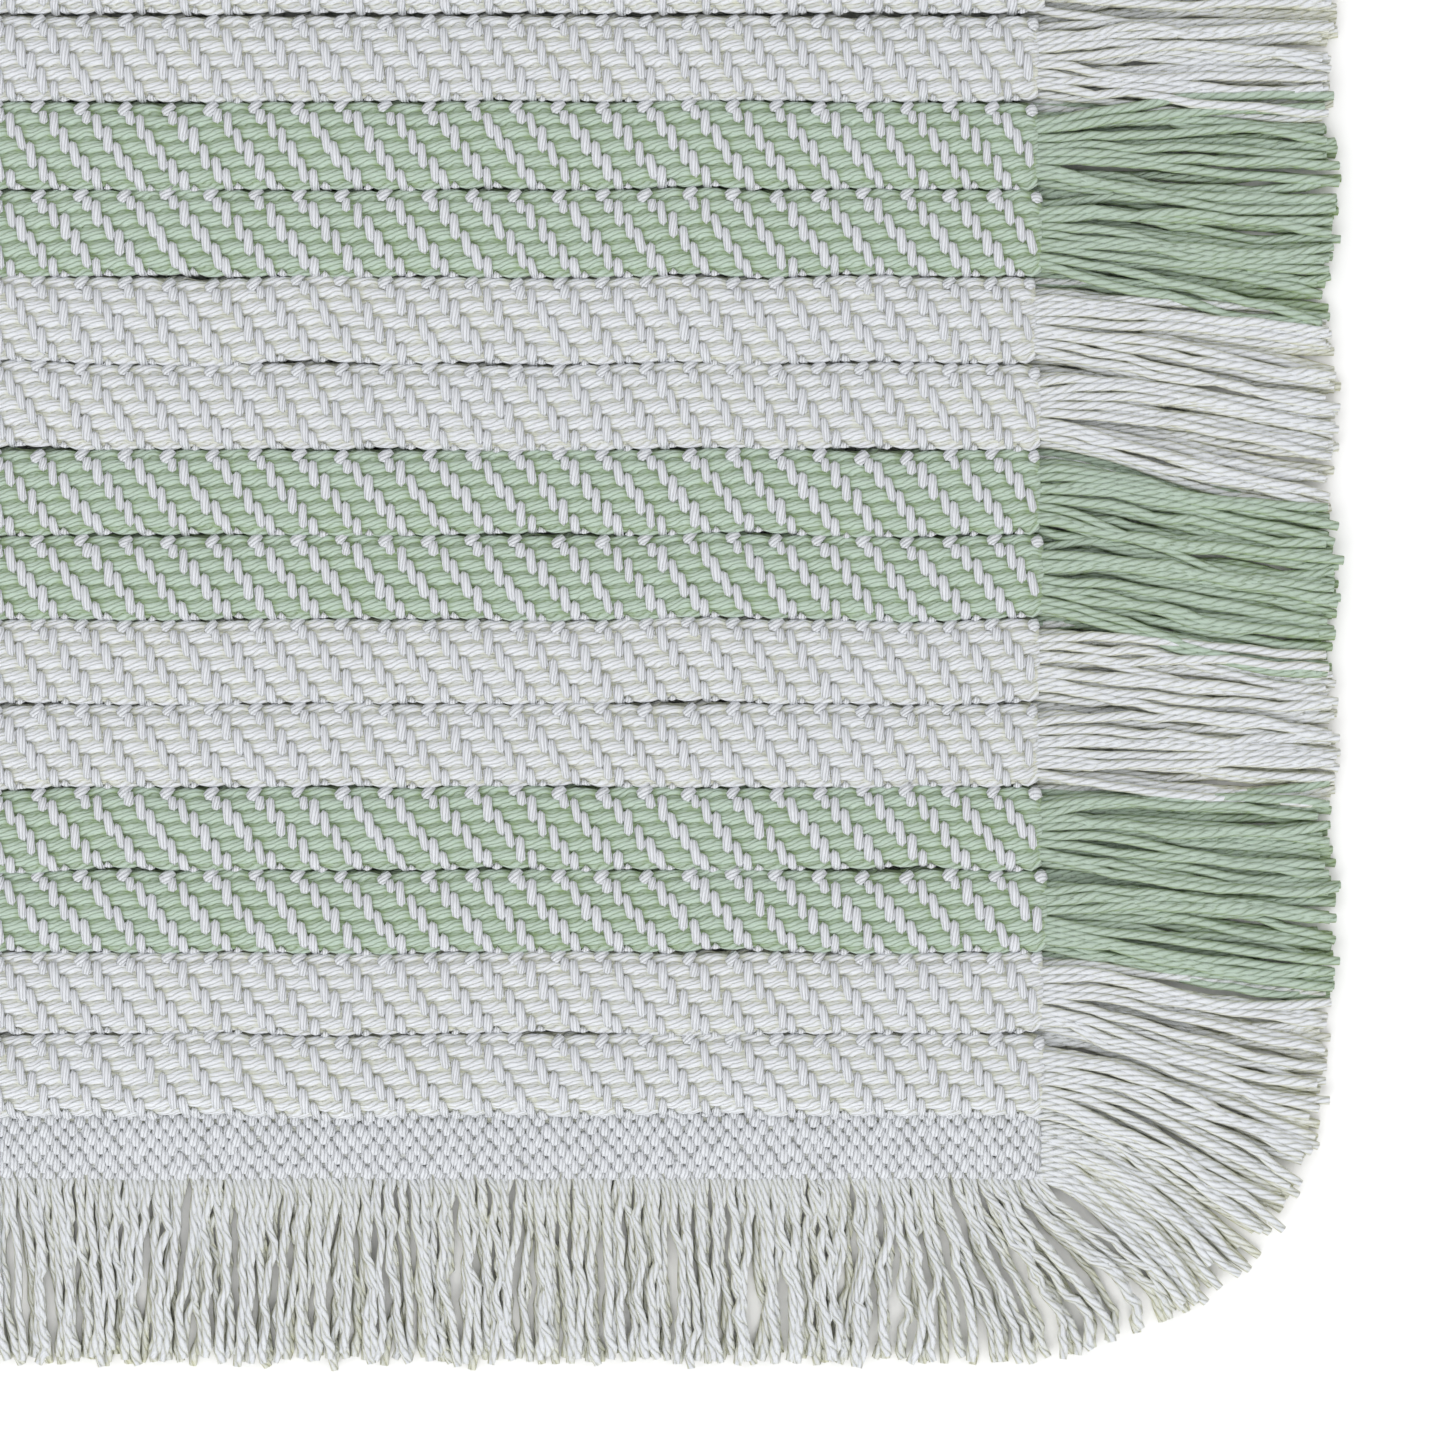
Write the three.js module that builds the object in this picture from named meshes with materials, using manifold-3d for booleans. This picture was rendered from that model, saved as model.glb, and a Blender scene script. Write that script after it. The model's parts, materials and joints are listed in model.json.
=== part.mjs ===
// A woven cotton bath mat with lapped ribs across it and a cut fringe all round.
// Frame: millimetres, +Z up, mat lying flat with its underside at z = 0 and its centre over the
// origin. X runs along the ribs (the weft), Y across them (the warp), front is -Y.
// The mat folds in half, face inwards, about the crease between its two middle ribs.
import * as THREE from "three";
import { mergeVertices } from "three/addons/utils/BufferGeometryUtils.js";
import Module from "manifold-3d";

// ---- driving dimensions ----
const bodyLength = 692; // the woven body along X, without the fringe
const endRibPitch = 15; // one rib to the next along Y, at the headings, where they are beaten up tight
const middleRibPitch = 16.4; // the same at the fold, where they lie looser
const ribsPerStripe = 2;
const stripeCount = 13; // odd, so that both ends are white and the middle stripe straddles the fold
const headingDepth = 11.8; // plain-woven band that locks the last rib, along Y
const sideFringeLength = 54; // cut weft tails, along X
const endFringeLength = 34.1; // cut warp tails, along Y
const cornerRadius = 62; // the fringe is trimmed round at the four corners

const groundThickness = 2; // the ground cloth under the ribs
const ribHeight = 6.2; // above the ground cloth
const ribTailThickness = 2; // where a rib runs under the next one
const ribLap = 2.4; // how far a rib's tail runs under the nose of the rib behind
const headingThickness = 3;
const fringeThickness = 3.8; // two loose layers of strands
const clearance = 0.3; // between neighbouring pieces of cloth
const foldGap = 1; // between the two faces when the mat is folded in half

// ---- sizes that follow ----
const ribCount = ribsPerStripe * stripeCount;
const ribsPerHalf = ribCount / 2;
const pitchStep = (middleRibPitch - endRibPitch) / (ribsPerHalf - 1);
// A rib's own depth along Y, counted from the nearer heading towards the fold.
const pitchOfRib = (i) => endRibPitch + pitchStep * Math.min(i, ribCount - 1 - i);
const depthOfRibs = (n) => n * endRibPitch + (pitchStep * n * (n - 1)) / 2;
const ribbedDepth = 2 * depthOfRibs(ribsPerHalf);
const matDepth = ribbedDepth + 2 * headingDepth + 2 * endFringeLength;
const matLength = bodyLength + 2 * sideFringeLength;
const ribBase = groundThickness + clearance;
const matHeight = ribBase + ribHeight;
const foldAxisHeight = matHeight + foldGap / 2; // the fold turns about X at this height, y = 0
const frontOfRib = (i) =>
  i < ribsPerHalf
    ? depthOfRibs(i) - ribbedDepth / 2
    : ribbedDepth / 2 - depthOfRibs(ribCount - i);
const frontOfHeading = -ribbedDepth / 2 - headingDepth;

// ---- materials ----
const cotton = (colour) =>
  new THREE.MeshStandardMaterial({ color: colour, roughness: 0.95, metalness: 0 });
const whiteCotton = cotton(0xe2e5ea);
const greenCotton = cotton(0xa9c4ad);
const stripeIsGreen = (stripe) => stripe % 2 === 1;
const stripeCotton = (stripe) => (stripeIsGreen(stripe) ? greenCotton : whiteCotton);
const stripeColour = (stripe) => (stripeIsGreen(stripe) ? "green" : "white");
const twoDigits = (n) => String(n).padStart(2, "0");

// ---- solids ----
const wasm = await Module();
wasm.setup();

function toSolid(geometry) {
  const bare = geometry.clone().deleteAttribute("normal").deleteAttribute("uv");
  const merged = mergeVertices(bare);
  return new wasm.Manifold(
    new wasm.Mesh({
      numProp: 3,
      vertProperties: new Float32Array(merged.attributes.position.array),
      triVerts: new Uint32Array(merged.index.array),
    }),
  );
}

function toGeometry(solid) {
  const mesh = solid.getMesh();
  const geometry = new THREE.BufferGeometry();
  geometry.setAttribute("position", new THREE.BufferAttribute(mesh.vertProperties, mesh.numProp));
  geometry.setIndex(new THREE.BufferAttribute(mesh.triVerts, 1));
  geometry.computeVertexNormals();
  return geometry;
}

const mat = new THREE.Group();
// Profiles drawn with x across the mat and y up run along the mat's length in this group.
const alongMat = new THREE.Group();
alongMat.rotation.set(Math.PI / 2, 0, Math.PI / 2, "ZYX");
alongMat.position.x = -bodyLength / 2;
mat.add(alongMat);

function add(name, geometry, material, group = mat) {
  const mesh = new THREE.Mesh(geometry, material);
  mesh.name = name;
  group.add(mesh);
  return mesh;
}

function box(x0, x1, y0, y1, height) {
  const geometry = new THREE.BoxGeometry(x1 - x0, y1 - y0, height);
  geometry.translate((x0 + x1) / 2, (y0 + y1) / 2, height / 2);
  return geometry;
}

// ---- ribs ----
// A rib is a lapped pleat: its nose hangs over the tail of the rib in front of it, its back slopes
// down, and its own tail runs flat under the nose of the rib behind. A profile's x is measured from
// the rib's nose. The tails stop short at the fold and at the back heading.
const noseUnderside = ribTailThickness + clearance;
const noseRadius = (ribHeight - noseUnderside) / 2;

function slopeToTail(shape, pitch, lap) {
  shape.bezierCurveTo(
    0.56 * pitch, ribHeight,
    0.91 * pitch, 0.8 * ribHeight,
    pitch - clearance, ribTailThickness,
  );
  shape.lineTo(pitch + lap - clearance / 2, ribTailThickness);
  shape.lineTo(pitch + lap - clearance / 2, 0);
  shape.closePath();
  return shape;
}

function lappedProfile(pitch, lap) {
  const shape = new THREE.Shape();
  shape.moveTo(ribLap + clearance / 2, 0);
  shape.lineTo(ribLap + clearance / 2, noseUnderside);
  shape.lineTo(noseRadius, noseUnderside);
  const middle = noseUnderside + noseRadius;
  shape.absarc(noseRadius, middle, noseRadius, -Math.PI / 2, Math.PI / 2, true);
  return slopeToTail(shape, pitch, lap);
}

// The front rib has no rib to lap over, so its cloth comes down to the heading.
function frontProfile(pitch, lap) {
  const shape = new THREE.Shape();
  const shoulder = clearance / 2 + ribHeight - noseUnderside;
  shape.moveTo(clearance / 2, 0);
  shape.lineTo(clearance / 2, noseUnderside);
  shape.quadraticCurveTo(clearance / 2, ribHeight, shoulder, ribHeight);
  return slopeToTail(shape, pitch, lap);
}

const ribOptions = { depth: bodyLength, bevelEnabled: false, curveSegments: 8 };
for (let i = 0; i < ribCount; i++) {
  const stripe = Math.floor(i / ribsPerStripe);
  const lastOfHalf = i === ribsPerHalf - 1 || i === ribCount - 1;
  const lap = lastOfHalf ? 0 : ribLap;
  const profile = i === 0 ? frontProfile(pitchOfRib(i), lap) : lappedProfile(pitchOfRib(i), lap);
  const name = `rib_${twoDigits(i + 1)}_${stripeColour(stripe)}`;
  const rib = add(name, new THREE.ExtrudeGeometry(profile, ribOptions), stripeCotton(stripe), alongMat);
  rib.position.set(frontOfRib(i), ribBase, 0);
}

// ---- ground cloth and headings ----
const halfLength = bodyLength / 2;
const halfRibbed = ribbedDepth / 2;
const seam = clearance / 2;
add(
  "ground_cloth_front",
  box(-halfLength, halfLength, -halfRibbed + seam, -seam, groundThickness),
  whiteCotton,
);
add(
  "ground_cloth_back",
  box(-halfLength, halfLength, seam, halfRibbed - seam, groundThickness),
  whiteCotton,
);
add(
  "heading_front",
  box(-halfLength, halfLength, frontOfHeading, -halfRibbed - seam, headingThickness),
  whiteCotton,
);
add(
  "heading_back",
  box(-halfLength, halfLength, halfRibbed + seam, -frontOfHeading, headingThickness),
  whiteCotton,
);

// ---- fringe ----
// Every tuft of fringe is its own zone of one plate with the mat's trimmed outline.
function trimmedPlate() {
  const x = matLength / 2;
  const y = matDepth / 2;
  const r = cornerRadius;
  const outline = new THREE.Shape();
  outline.absarc(x - r, y - r, r, 0, Math.PI / 2, false);
  outline.absarc(r - x, y - r, r, Math.PI / 2, Math.PI, false);
  outline.absarc(r - x, r - y, r, Math.PI, 1.5 * Math.PI, false);
  outline.absarc(x - r, r - y, r, 1.5 * Math.PI, 2 * Math.PI, false);
  outline.closePath();
  return new THREE.ExtrudeGeometry(outline, {
    depth: fringeThickness,
    bevelEnabled: false,
    curveSegments: 16,
  });
}

const plate = toSolid(trimmedPlate());
const fringeZone = (x0, x1, y0, y1) =>
  toGeometry(plate.intersect(toSolid(box(x0, x1, y0, y1, fringeThickness))));

const endRoot = matDepth / 2 - endFringeLength + clearance;
add(
  "end_fringe_front",
  fringeZone(-halfLength, halfLength, -matDepth / 2, -endRoot),
  whiteCotton,
);
add("end_fringe_back", fringeZone(-halfLength, halfLength, endRoot, matDepth / 2), whiteCotton);

// One tuft of weft tails for each stripe on each side. The first and last take in the corners,
// and the middle stripe's is parted where the mat folds.
const sideRoot = halfLength + clearance;
function addSideTufts(label, firstRib, endRib, stripe) {
  const front = firstRib === 0 ? -matDepth / 2 : frontOfRib(firstRib) + seam;
  const back = endRib === ribCount ? matDepth / 2 : frontOfRib(endRib) - seam;
  const name = (side) => `side_fringe_${side}_${label}_${stripeColour(stripe)}`;
  add(name("left"), fringeZone(-matLength / 2, -sideRoot, front, back), stripeCotton(stripe));
  add(name("right"), fringeZone(sideRoot, matLength / 2, front, back), stripeCotton(stripe));
}

const middleStripe = (stripeCount - 1) / 2;
for (let stripe = 0; stripe < stripeCount; stripe++) {
  const first = stripe * ribsPerStripe;
  const end = first + ribsPerStripe;
  const number = twoDigits(stripe + 1);
  if (stripe === middleStripe) {
    addSideTufts(`${number}a`, first, ribCount / 2, stripe);
    addSideTufts(`${number}b`, ribCount / 2, end, stripe);
  } else {
    addSideTufts(number, first, end, stripe);
  }
}

mat.userData.foldAxis = { point: [0, 0, foldAxisHeight], direction: [1, 0, 0] };

export default mat;
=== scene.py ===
"""The looks of a woven cotton bath mat: lapped ribs of twill cloth, and a cut fringe."""

import json
import math

import bpy
import numpy as np
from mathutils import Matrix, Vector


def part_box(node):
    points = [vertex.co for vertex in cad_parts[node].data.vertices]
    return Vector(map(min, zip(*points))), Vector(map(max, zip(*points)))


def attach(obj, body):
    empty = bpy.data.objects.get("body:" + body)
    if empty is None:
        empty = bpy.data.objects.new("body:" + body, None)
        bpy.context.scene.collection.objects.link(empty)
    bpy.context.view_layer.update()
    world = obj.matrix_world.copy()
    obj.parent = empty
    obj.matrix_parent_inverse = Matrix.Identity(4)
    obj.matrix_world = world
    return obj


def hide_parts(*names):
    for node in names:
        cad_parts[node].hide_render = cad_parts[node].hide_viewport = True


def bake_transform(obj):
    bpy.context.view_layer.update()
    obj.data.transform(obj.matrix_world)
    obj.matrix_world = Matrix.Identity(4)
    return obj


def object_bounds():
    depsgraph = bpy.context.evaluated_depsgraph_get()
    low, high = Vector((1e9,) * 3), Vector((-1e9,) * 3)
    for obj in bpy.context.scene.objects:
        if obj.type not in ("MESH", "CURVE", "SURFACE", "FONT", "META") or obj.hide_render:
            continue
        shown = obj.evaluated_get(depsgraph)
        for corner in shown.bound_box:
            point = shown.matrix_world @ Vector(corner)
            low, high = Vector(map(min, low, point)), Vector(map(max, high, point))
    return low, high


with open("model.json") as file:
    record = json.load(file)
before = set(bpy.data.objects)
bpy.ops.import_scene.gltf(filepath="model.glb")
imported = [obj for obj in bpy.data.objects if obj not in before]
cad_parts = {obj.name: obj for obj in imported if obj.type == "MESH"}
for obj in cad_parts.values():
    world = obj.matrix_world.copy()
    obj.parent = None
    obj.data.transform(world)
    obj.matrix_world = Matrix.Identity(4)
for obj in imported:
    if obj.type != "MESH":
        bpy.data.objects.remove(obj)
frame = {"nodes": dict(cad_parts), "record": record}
cad_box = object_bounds()

MM = 0.001

# ---- the mat's own sizes, read from the frame ----
RIBS = sorted(name for name in frame["nodes"] if name.startswith("rib_"))
FRONT_LOW, FRONT_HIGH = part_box(RIBS[0])
HEADING_LOW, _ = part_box("heading_front")
FRINGE_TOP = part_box("end_fringe_front")[1].z
BODY_END = FRONT_HIGH.x  # the woven body ends here, and the side fringe starts
MAT_END = cad_box[1][0]  # the tips of the side fringe
MAT_SIDE = cad_box[1][1]  # the tips of the end fringe
HEADING_END = -HEADING_LOW.y  # from the fold to the roots of the end fringe
CORNER = 62 * MM  # the radius of the fringe's trimmed corners
CORNER_X = MAT_END - CORNER  # and how far its centre is from the mat's middle
CORNER_Y = MAT_SIDE - CORNER

# ---- yarn ----
COLUMN_PITCH = 2.0 * MM  # one face warp yarn to the next, along the ribs
ROW_PITCH = 2.5 * MM  # one weft bundle to the next, down a rib
COLUMNS = round(2 * BODY_END / COLUMN_PITCH)
REPEAT = 4  # columns in one repeat of the twill, of which a float covers two
STRANDS = 3  # strands in a weft bundle
FLOAT_LENGTH = 2.12 * ROW_PITCH
FLOAT_WIDTH = 1.8 * MM
FLOAT_HEIGHT = 0.85 * MM
YARN_DEPTH = 0.8 * MM  # the middle of the cloth lies this far under the face of its solid
PLY_STEP = 2.8 * MM  # from one ply's crossing to the next, along a yarn


# ================================= node trees =================================
def connect(tree, value, slot):
    """Links a field into a socket, or sets the socket to a plain value."""
    if isinstance(value, Field):
        tree.links.new(value.socket, slot)
    else:
        slot.default_value = value


class Field:
    """A socket of a node tree with arithmetic, so that a tree reads as a formula."""

    def __init__(self, tree, socket):
        self.tree = tree
        self.socket = socket

    def math(self, operation, *others):
        node = self.tree.nodes.new("ShaderNodeMath")
        node.operation = operation
        for slot, value in zip(node.inputs, (self, *others)):
            connect(self.tree, value, slot)
        return Field(self.tree, node.outputs[0])

    def __add__(self, other):
        return self.math("ADD", other)

    def __sub__(self, other):
        return self.math("SUBTRACT", other)

    def __mul__(self, other):
        return self.math("MULTIPLY", other)

    def __truediv__(self, other):
        return self.math("DIVIDE", other)

    def at_least(self, other):
        return self.math("MAXIMUM", other)

    def at_most(self, other):
        return self.math("MINIMUM", other)

    def below(self, other):
        return self.math("LESS_THAN", other)

    def flipped(self):
        """One minus this."""
        return self * -1 + 1

    def from_middle(self):
        """0 halfway between two whole numbers, and 1 at each of them."""
        return (self.math("FRACT") - 0.5).math("ABSOLUTE") * 2


class NodeTree:
    """Builds one geometry or shader tree. Its calls return nodes and fields."""

    def __init__(self, tree):
        self.tree = tree

    def node(self, kind, *values, named=None, **settings):
        made = self.tree.nodes.new(kind)
        for key, value in settings.items():
            setattr(made, key, value)
        slots = [slot for slot in made.inputs if slot.enabled]
        for slot, value in zip(slots, values):
            if value is not None:
                connect(self.tree, value, slot)
        for name, value in (named or {}).items():
            connect(self.tree, value, next(slot for slot in slots if slot.name == name))
        return made

    def out(self, node, name=None):
        """A node's output by name, or its first live one."""
        live = [slot for slot in node.outputs if slot.enabled]
        return Field(self.tree, next(s for s in live if name in (None, s.name)))

    def field(self, kind, *values, named=None, **settings):
        return self.out(self.node(kind, *values, named=named, **settings))

    def vector(self, x=0.0, y=0.0, z=0.0):
        return self.field("ShaderNodeCombineXYZ", x, y, z)

    def split(self, vector):
        node = self.node("ShaderNodeSeparateXYZ", vector)
        return [Field(self.tree, node.outputs[i]) for i in range(3)]

    def scaled(self, vector, factor):
        return self.field(
            "ShaderNodeVectorMath", vector, named={"Scale": factor}, operation="SCALE"
        )

    def summed(self, *vectors):
        total = vectors[0]
        for vector in vectors[1:]:
            total = self.field("ShaderNodeVectorMath", total, vector, operation="ADD")
        return total

    def noise(self, vector, scale, detail=1.0):
        """Smooth noise from 0 to 1, with most of it near 0.5."""
        return self.field(
            "ShaderNodeTexNoise", named={"Vector": vector, "Scale": scale, "Detail": detail}
        )


class GeometryTree(NodeTree):
    """A geometry tree with named inputs, each given with its kind."""

    def __init__(self, name, **inputs):
        super().__init__(bpy.data.node_groups.new(name, "GeometryNodeTree"))
        face = self.tree.interface
        face.new_socket("Geometry", in_out="INPUT", socket_type="NodeSocketGeometry")
        face.new_socket("Geometry", in_out="OUTPUT", socket_type="NodeSocketGeometry")
        for label, kind in {**inputs, "Material": "Material"}.items():
            face.new_socket(label, in_out="INPUT", socket_type="NodeSocket" + kind)
        self.source = self.tree.nodes.new("NodeGroupInput")
        self.sink = self.tree.nodes.new("NodeGroupOutput")

    def given(self, name):
        return Field(self.tree, self.source.outputs[name])

    def random(self, low, high, seed, identity):
        return self.field(
            "FunctionNodeRandomValue",
            named={"Min": low, "Max": high, "Seed": seed, "ID": identity},
            data_type="FLOAT",
        )

    def stored(self, geometry, name, value, data_type="FLOAT", domain="POINT"):
        node = self.node(
            "GeometryNodeStoreNamedAttribute",
            geometry,
            named={"Name": name, "Value": value},
            data_type=data_type,
            domain=domain,
        )
        return self.out(node)

    def with_yarn_map(self, geometry, along, across):
        """A UV map named yarn: along the yarn and across it."""
        place = self.vector(along, across, 0.0)
        return self.stored(geometry, "yarn", place, "FLOAT2", "CORNER")

    def attribute(self, name, data_type="FLOAT"):
        return self.field("GeometryNodeInputNamedAttribute", name, data_type=data_type)

    def moved(self, geometry, place):
        return self.field("GeometryNodeSetPosition", geometry, named={"Position": place})

    def finish(self, geometry):
        """Smooth shading, a real mesh and the material end every tree."""
        smooth = self.field("GeometryNodeSetShadeSmooth", geometry)
        real = self.field("GeometryNodeRealizeInstances", smooth)
        material = {"Material": self.given("Material")}
        done = self.field("GeometryNodeSetMaterial", real, named=material)
        self.tree.links.new(done.socket, self.sink.inputs[0])
        return self


def grown(name, tree, material, carrier=None, **inputs):
    """Runs a tree, on the carrier's mesh where it has one, and keeps the result as a plain mesh."""
    if carrier is None:
        carrier = bpy.data.objects.new("carrier", bpy.data.meshes.new("carrier"))
        bpy.context.scene.collection.objects.link(carrier)
    modifier = carrier.modifiers.new("tree", "NODES")
    modifier.node_group = tree.tree
    values = {"Material": material, **inputs}
    for item in tree.tree.interface.items_tree:
        if item.in_out == "INPUT" and item.name in values:
            modifier[item.identifier] = values.pop(item.name)
    if values:
        raise ValueError(f"{tree.tree.name} has no input named {sorted(values)}")
    bpy.context.view_layer.update()
    evaluated = carrier.evaluated_get(bpy.context.evaluated_depsgraph_get())
    mesh = bpy.data.meshes.new_from_object(evaluated)
    mesh.name = name
    bpy.data.objects.remove(carrier)
    made = bpy.data.objects.new(name, mesh)
    bpy.context.scene.collection.objects.link(made)
    return made


# ================================= materials =================================
GROOVE = 3.0  # the higher this power, the narrower the groove between plies or strands
FINE_GROOVE = 4.0
BARE_MIDDLE = 2.5  # where a weft bundle shows, in columns along the repeat of the twill
BARE_REACH = 1.15  # and how far to each side of there
# How strongly each thing makes a point of cotton paler: the lift as painted light and shade, fibre
# and patches as uneven tone; and from which shade on it is palest
PAINTED_LIFT_SHARE = 0.6
FIBRE_SHARE = 0.6
PATCH_SHARE = 0.3
LEAST_SHADE = 0.2
PALEST_FROM = 0.78


def plied(u, v, sway):
    """How deep a point lies between the two plies of a yarn, from 0 to 1."""
    turn = u / PLY_STEP + v + sway * 0.5
    return turn.from_middle().math("POWER", GROOVE)


def twill(u, v, sway):
    """The same between the strands of a weft bundle. They lean where they show, over two columns
    in four, and dive under the warp at both ends."""
    column = u / COLUMN_PITCH + COLUMNS / 2
    row = (v / STRANDS).math("FLOOR")
    across = (((row - column) / REPEAT).math("FRACT") * REPEAT - BARE_MIDDLE) / BARE_REACH
    across = across.at_least(-1).at_most(1)
    ends = across * across * across * across
    leaning = (across * (math.pi / 2)).math("SINE") * -0.75
    strand = (v + leaning + sway * 0.9).from_middle()
    return (strand.math("POWER", GROOVE) * 0.9 + ends * 0.5).at_most(1)


def plain(u, v, sway):
    """The same in plain weave, where warp and weft cross one over one."""
    column = u / COLUMN_PITCH + COLUMNS / 2
    crossing = (column * math.pi).math("SINE") * (v * (math.pi / STRANDS)).math("SINE")
    weft_up = (crossing * -1).below(0)
    strand = v * weft_up + column * STRANDS * weft_up.flipped() + sway * 0.8
    line = strand.from_middle().math("POWER", FINE_GROOVE)
    return (line * 0.4 + crossing.math("ABSOLUTE").math("POWER", 0.5).flipped()).at_most(1)


def cotton(name, light, deep, lines, painted_groove_shade):
    """Cotton. The piece's yarn map runs along the yarn in metres, and across it with 1 for each
    ply or strand. Its lift attribute says how far out of the cloth a point stands, up to 1, and
    is below 0 in the deepest gaps; it paints light and shade into the colour, darker where a
    point lies low. The lines are one of the three fields above, and the depth is how much the
    deep colour shows in them, as painted shade in the grooves."""
    material = bpy.data.materials.new(name)
    material.use_nodes = True
    shader = NodeTree(material.node_tree)
    surface = material.node_tree.nodes["Principled BSDF"]
    u, v, _ = shader.split(shader.field("ShaderNodeUVMap", uv_map="yarn"))
    place = shader.out(shader.node("ShaderNodeTexCoord"), "Object")
    lift = shader.out(shader.node("ShaderNodeAttribute", attribute_name="lift"), "Fac")

    sway = shader.noise(shader.vector(u * 300, v * 0.7), 1.0, 1.0) - 0.5
    groove = lines(u, v, sway)
    fibre = shader.noise(shader.vector(u * 900 + v * 2, v * 6 - u * 1200), 1.0, 3.0)
    patch = shader.noise(place, 55.0, 3.0)

    # painted shade: where the lift is low and in the grooves the colour is darkened towards the
    # deep colour; fibre and patches give the yarn's uneven tone
    shade = lift * PAINTED_LIFT_SHARE + (fibre - 0.5) * FIBRE_SHARE + patch * PATCH_SHARE
    shade = shade + LEAST_SHADE - groove * painted_groove_shade
    # the ramp runs from the deep colour, painted shade and the dark end of the uneven tone, to the
    # yarn's own light colour
    ramp = shader.node("ShaderNodeValToRGB", shade)
    low, high = ramp.color_ramp.elements
    low.position = 0.0
    low.color = (*deep, 1)
    high.position = PALEST_FROM
    high.color = (*light, 1)
    links = material.node_tree.links
    links.new(ramp.outputs[0], surface.inputs["Base Color"])
    links.new((fibre * 0.14 + 0.82).socket, surface.inputs["Roughness"])
    surface.inputs["Sheen Weight"].default_value = 0.25
    surface.inputs["Sheen Roughness"].default_value = 0.5
    surface.inputs["Specular IOR Level"].default_value = 0.12

    relief = fibre * 1.1 - groove * 1.5
    bump = shader.node(
        "ShaderNodeBump", named={"Strength": 0.75, "Distance": 0.4 * MM, "Height": relief}
    )
    links.new(bump.outputs[0], surface.inputs["Normal"])
    return material


# Each yarn's light colour is its own; its deep colour is painted shade for low places, grooves and
# creases, and the dark end of its uneven tone
WHITE_LIGHT = (0.75, 0.775, 0.81)
WHITE_DARK_TONE_AND_SHADE = (0.66, 0.66, 0.44)
WHITE_FLOAT_LIGHT = (0.83, 0.855, 0.895)
WHITE_WEFT_LIGHT = (0.82, 0.845, 0.885)
WHITE_WEFT_DARK_TONE_AND_SHADE = (0.72, 0.73, 0.55)
GREEN_LIGHT = (0.455, 0.56, 0.47)
GREEN_DARK_TONE_AND_SHADE = (0.25, 0.36, 0.12)
GREEN_WEFT_LIGHT = (0.53, 0.65, 0.55)
GREEN_WEFT_DARK_TONE_AND_SHADE = (0.30, 0.41, 0.20)
# the last number is how much painted shade goes into the grooves between plies or strands
YARN = {
    "white": cotton("white_cotton_yarn", WHITE_LIGHT, WHITE_DARK_TONE_AND_SHADE, plied, 0.34),
    "green": cotton("green_cotton_yarn", GREEN_LIGHT, GREEN_DARK_TONE_AND_SHADE, plied, 0.36),
}
WEFT = {
    "white": cotton("white_cotton_weft", WHITE_WEFT_LIGHT, WHITE_WEFT_DARK_TONE_AND_SHADE, twill, 0.5),
    "green": cotton("green_cotton_weft", GREEN_WEFT_LIGHT, GREEN_WEFT_DARK_TONE_AND_SHADE, twill, 0.62),
}

FLOATS = cotton("white_cotton_float", WHITE_FLOAT_LIGHT, WHITE_WEFT_DARK_TONE_AND_SHADE, plied, 0.22)
PLAIN_CLOTH = cotton("white_cotton_plain_weave", WHITE_WEFT_LIGHT, WHITE_WEFT_DARK_TONE_AND_SHADE, plain, 0.1)


def colour_of(node):
    return "green" if node.endswith("green") else "white"


def body_of(node):
    bodies = frame["record"]["behaviour"]["bodies"]
    return next(body for body, nodes in bodies.items() if node in nodes)


def placed(piece, node, replaces=True):
    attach(piece, body_of(node))
    if replaces:
        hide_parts(node)
    return piece


# ================================= shapes to repeat =================================
SPINDLE_CENTRE = 0.35  # how high the middle of a spindle lies, in parts of its height


def spindle(name, width, length, height, sides, rings, blunt):
    """A closed yarn shape that tapers at both ends, lying along Y, flat underneath.
    Its yarn map runs along it, and across it with 1 for each strand."""
    map_middle = STRANDS / 2
    places = [(0.0, -length / 2, 0.0)]
    maps = [(0.0, map_middle)]
    for ring in range(1, rings):
        t = math.sin(math.pi / 2 * (2 * ring / rings - 1))
        full = (1 - abs(t) ** blunt) ** 0.5
        for side in range(sides):
            angle = math.pi * (1.5 + (2 * side + 1) / sides)
            x = math.cos(angle) * full * width / 2
            rise = SPINDLE_CENTRE + (1 - SPINDLE_CENTRE) * math.sin(angle)
            z = rise * full * height
            places.append((x, t * length / 2, z))
            maps.append(((1 + t) * length / 2, map_middle - math.cos(angle) * map_middle))
    places.append((0.0, length / 2, 0.0))
    maps.append((length, map_middle))
    last = len(places) - 1
    faces = []
    for side in range(sides):
        after = (side + 1) % sides
        faces.append((0, 1 + side, 1 + after))
        for ring in range(rings - 2):
            a = 1 + ring * sides
            faces.append((a + side, a + sides + side, a + sides + after, a + after))
        tail = last - sides
        faces.append((tail + after, tail + side, last))
    mesh = bpy.data.meshes.new(name)
    mesh.from_pydata(places, [], faces)
    layer = mesh.uv_layers.new(name="yarn")
    for loop in mesh.loops:
        layer.data[loop.index].uv = maps[loop.vertex_index]
    made = bpy.data.objects.new(name, mesh)
    bpy.context.scene.collection.objects.link(made)
    return made


def polyline(name, points):
    """A curve object through points in Y and Z, for a tree to follow."""
    data = bpy.data.curves.new(name, "CURVE")
    data.dimensions = "3D"
    spline = data.splines.new("POLY")
    spline.points.add(len(points) - 1)
    for point, (y, z) in zip(spline.points, points):
        point.co = (0.0, y, z, 1.0)
    made = bpy.data.objects.new(name, data)
    bpy.context.scene.collection.objects.link(made)
    return made


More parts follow.
